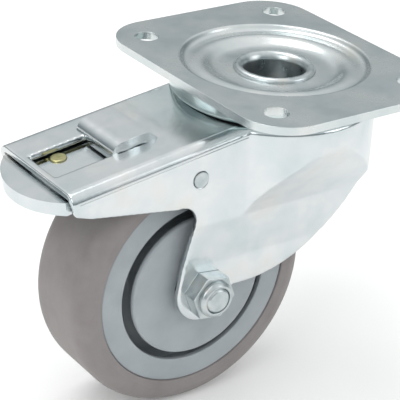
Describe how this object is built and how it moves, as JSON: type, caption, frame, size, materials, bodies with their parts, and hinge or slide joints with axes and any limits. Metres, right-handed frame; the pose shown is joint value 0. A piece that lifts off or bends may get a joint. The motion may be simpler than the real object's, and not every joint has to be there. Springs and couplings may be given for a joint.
{
  "type": "swivel castor wheel",
  "caption": "Swivel castor for a gate or trolley: mounting plate, ball-race head, pressed fork with a locking pedal, and a rubber-tyred wheel.",
  "frame": {"origin": "centre of the mounting plate's top face, on the swivel axis", "axes": "+Z is the plate's outward normal, away from the wheel; +X is the way the castor rolls, so the wheel and the pedal trail towards -X; Y is the direction of the axle, with the lock nut at -Y"},
  "size_m": [0.1524, 0.109, 0.125],
  "materials": {
    "zinc_plate": "bright zinc plated pressed steel, satin",
    "zinc_parts": "bright zinc plated turned steel",
    "bright_steel": "ground and polished steel",
    "yellow_zinc": "yellow passivated zinc",
    "seal_rubber": "matt black rubber",
    "tyre_rubber": "grey non-marking rubber, fine moulded grain",
    "rim_plastic": "blue-grey moulded polypropylene"
  },
  "bodies": {
    "plate": {"mounting_plate": "zinc_plate", "upper_race_cup": "zinc_parts", "dust_seal": "seal_rubber", "kingpin": "bright_steel", "lower_race": "zinc_parts", "locking_ring": "zinc_plate"},
    "upper_ball_row": {"upper_balls": "bright_steel"},
    "lower_ball_row": {"lower_balls": "bright_steel"},
    "fork": {"fork": "zinc_plate", "pivot_studs": "bright_steel", "axle_bolt": "zinc_parts", "bolt_washer": "zinc_parts", "lock_nut": "zinc_plate", "nut_collar": "zinc_parts", "axle_sleeve": "zinc_parts", "centre_spacer": "zinc_parts", "side_spacers": "zinc_parts", "bearing_inner_rings": "bright_steel"},
    "bearing_set": {"bearing_balls": "bright_steel", "bearing_cages": "yellow_zinc"},
    "wheel": {"bearing_outer_rings": "bright_steel", "rim": "rim_plastic", "tyre": "tyre_rubber", "near_cover": "rim_plastic", "far_cover": "rim_plastic"},
    "pedal": {"brake_pedal": "zinc_plate", "brake_shoe": "seal_rubber", "shoe_rivets": "bright_steel", "locking_tongue": "zinc_parts", "tongue_rivets": "bright_steel", "leaf_spring": "yellow_zinc", "spring_stud": "yellow_zinc"}
  },
  "joints": [
    {"name": "swivel", "type": "hinge", "parent": "plate", "child": "fork", "pos_m": [0, 0, 0], "axis": [0, 0, 1], "continuous": true},
    {"name": "upper_ball_orbit", "type": "hinge", "parent": "plate", "child": "upper_ball_row", "pos_m": [0, 0, 0], "axis": [0, 0, 1], "continuous": true},
    {"name": "lower_ball_orbit", "type": "hinge", "parent": "plate", "child": "lower_ball_row", "pos_m": [0, 0, 0], "axis": [0, 0, 1], "continuous": true},
    {"name": "wheel_spin", "type": "hinge", "parent": "fork", "child": "wheel", "pos_m": [-0.042, 0, -0.075], "axis": [0, 1, 0], "continuous": true},
    {"name": "bearing_orbit", "type": "hinge", "parent": "fork", "child": "bearing_set", "pos_m": [-0.042, 0, -0.075], "axis": [0, 1, 0], "continuous": true},
    {"name": "pedal_press", "type": "hinge", "parent": "fork", "child": "pedal", "pos_m": [-0.0486, 0, -0.0275], "axis": [0, -1, 0], "range_deg": [0, 11]}
  ],
  "couplings": [
    {"joint": "upper_ball_orbit", "follows": "swivel", "ratio": 0.5},
    {"joint": "lower_ball_orbit", "follows": "swivel", "ratio": 0.5},
    {"joint": "bearing_orbit", "follows": "wheel_spin", "ratio": 0.62}
  ]
}
